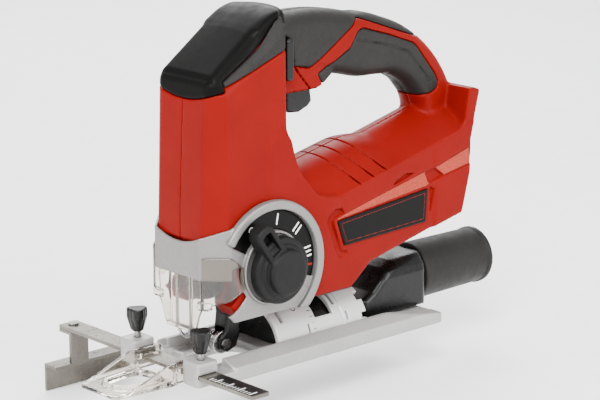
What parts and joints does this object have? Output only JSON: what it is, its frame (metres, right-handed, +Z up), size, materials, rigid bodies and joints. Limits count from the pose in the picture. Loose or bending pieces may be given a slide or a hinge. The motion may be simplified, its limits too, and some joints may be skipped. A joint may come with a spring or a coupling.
{
  "type": "cordless jigsaw",
  "caption": "D-handle cordless jigsaw with tilting sole, parallel fence, clear cutting guide, blade guard and dust port; no battery or blade fitted.",
  "frame": {"origin": "middle of the sole's underside, on the blade's centre plane", "axes": "+Z up out of the sole, -X towards the blade and the cut, the speed dial faces -Y"},
  "size_m": [0.318, 0.184, 0.2451],
  "materials": {
    "casing_red": "satin moulded plastic",
    "soft_grip": "soft overmoulded rubber",
    "black_plastic": "fine grained plastic",
    "silver_cover": "silver paint",
    "casting": "cast and blasted",
    "steel": "satin",
    "dark_steel": "blackened",
    "clear_plastic": "clear polycarbonate",
    "scale_white": "satin",
    "copper": "enamelled windings",
    "board": "solder mask",
    "bronze": "sintered"
  },
  "bodies": {
    "base": {"base_plate": "casting", "bevel_scale": "scale_white", "clamp_shoe": "black_plastic", "bevel_clamp_screw": "dark_steel", "cut_guide": "clear_plastic", "dust_duct": "black_plastic"},
    "housing": {"housing_left": "casing_red", "housing_right": "casing_red", "housing_screw_1": "dark_steel", "housing_screw_2": "dark_steel", "housing_screw_3": "dark_steel", "housing_screw_4": "dark_steel", "top_cover": "black_plastic", "shoulder_grip_left": "soft_grip", "shoulder_grip_right": "soft_grip", "handle_grip_left": "soft_grip", "handle_grip_right": "soft_grip", "gear_cover": "silver_cover", "dial_plate": "black_plastic", "label_plate": "black_plastic", "trigger_spring": "steel", "switch_block": "black_plastic", "motor_can": "steel", "front_bearing": "steel", "rear_bearing": "steel", "gear_shaft": "dark_steel", "gear_bracket": "casting", "lower_bushing": "bronze", "upper_bushing": "bronze", "arm_pin": "steel", "finger_guard": "steel", "lamp_lens": "clear_plastic", "control_board": "board", "terminal_block": "black_plastic", "battery_rail_left": "steel", "battery_rail_right": "steel", "tilt_saddle": "black_plastic"},
    "knob": {"orbit_knob": "black_plastic", "knob_spindle": "dark_steel"},
    "trigger": {"trigger": "black_plastic"},
    "lock": {"lock_button": "black_plastic"},
    "armature": {"armature": "copper", "pinion": "steel", "motor_fan": "black_plastic"},
    "crank": {"drive_gear": "steel"},
    "plunger": {"plunger": "steel", "blade_chuck": "dark_steel"},
    "chuck": {"chuck_collar": "black_plastic"},
    "arm": {"roller_arm": "dark_steel", "roller_axle": "steel"},
    "roller": {"guide_roller": "steel"},
    "guard": {"blade_guard": "clear_plastic"},
    "left_clamp": {"clamp_knob_left": "black_plastic", "clamp_stud_left": "steel"},
    "right_clamp": {"clamp_knob_right": "black_plastic", "clamp_stud_right": "steel"},
    "fence": {"guide_rail": "steel", "guide_fence": "steel", "fence_rivet": "steel"},
    "port": {"dust_port": "black_plastic"}
  },
  "joints": [
    {"name": "bevel_tilt", "type": "hinge", "parent": "base", "child": "housing", "pos_m": [0, 0, 0.006], "axis": [1, 0, 0], "range_deg": [-47, 47]},
    {"name": "knob_turn", "type": "hinge", "parent": "housing", "child": "knob", "pos_m": [-0.0555, 0, 0.064], "axis": [0, 1, 0], "range_deg": [0, 108]},
    {"name": "trigger_pull", "type": "slide", "parent": "housing", "child": "trigger", "axis": [0, 0, 1], "range_m": [0, 0.006], "stiffness_N_per_m": 900, "springref_m": -0.002, "deforming": ["trigger_spring"]},
    {"name": "lock_push", "type": "slide", "parent": "housing", "child": "lock", "axis": [0, 1, 0], "range_m": [0, 0.003], "stiffness_N_per_m": 600, "springref_m": -0.001},
    {"name": "motor_spin", "type": "hinge", "parent": "housing", "child": "armature", "pos_m": [0, 0, 0.092], "axis": [1, 0, 0], "continuous": true},
    {"name": "gear_spin", "type": "hinge", "parent": "housing", "child": "crank", "pos_m": [-0.055, 0, 0.119], "axis": [1, 0, 0], "continuous": true},
    {"name": "plunger_stroke", "type": "slide", "parent": "housing", "child": "plunger", "axis": [0, 0, 1], "range_m": [-0.013, 0.013]},
    {"name": "chuck_release", "type": "hinge", "parent": "plunger", "child": "chuck", "pos_m": [-0.081, 0, 0.05], "axis": [0, 0, 1], "range_deg": [-45, 0], "stiffness_Nm_per_rad": 0.05, "springref_deg": 11.46},
    {"name": "roller_swing", "type": "hinge", "parent": "housing", "child": "arm", "pos_m": [-0.064, 0, 0.054], "axis": [0, 1, 0], "range_deg": [0, 4]},
    {"name": "roller_spin", "type": "hinge", "parent": "arm", "child": "roller", "pos_m": [-0.0694, 0, 0.013], "axis": [0, 1, 0], "continuous": true},
    {"name": "guard_lift", "type": "slide", "parent": "housing", "child": "guard", "axis": [0, 0, 1], "range_m": [0, 0.008]},
    {"name": "left_clamp_turn", "type": "hinge", "parent": "base", "child": "left_clamp", "pos_m": [-0.1085, -0.0298, 0.02], "axis": [0, 0, 1], "continuous": true},
    {"name": "right_clamp_turn", "type": "hinge", "parent": "base", "child": "right_clamp", "pos_m": [-0.1085, 0.0298, 0.02], "axis": [0, 0, 1], "continuous": true},
    {"name": "fence_slide", "type": "slide", "parent": "base", "child": "fence", "axis": [0, 1, 0], "range_m": [-0.045, 0.045]},
    {"name": "port_pull", "type": "slide", "parent": "base", "child": "port", "axis": [1, 0, 0], "range_m": [0, 0.03]}
  ],
  "couplings": [
    {"joint": "gear_spin", "follows": "motor_spin", "ratio": -0.22727}
  ]
}
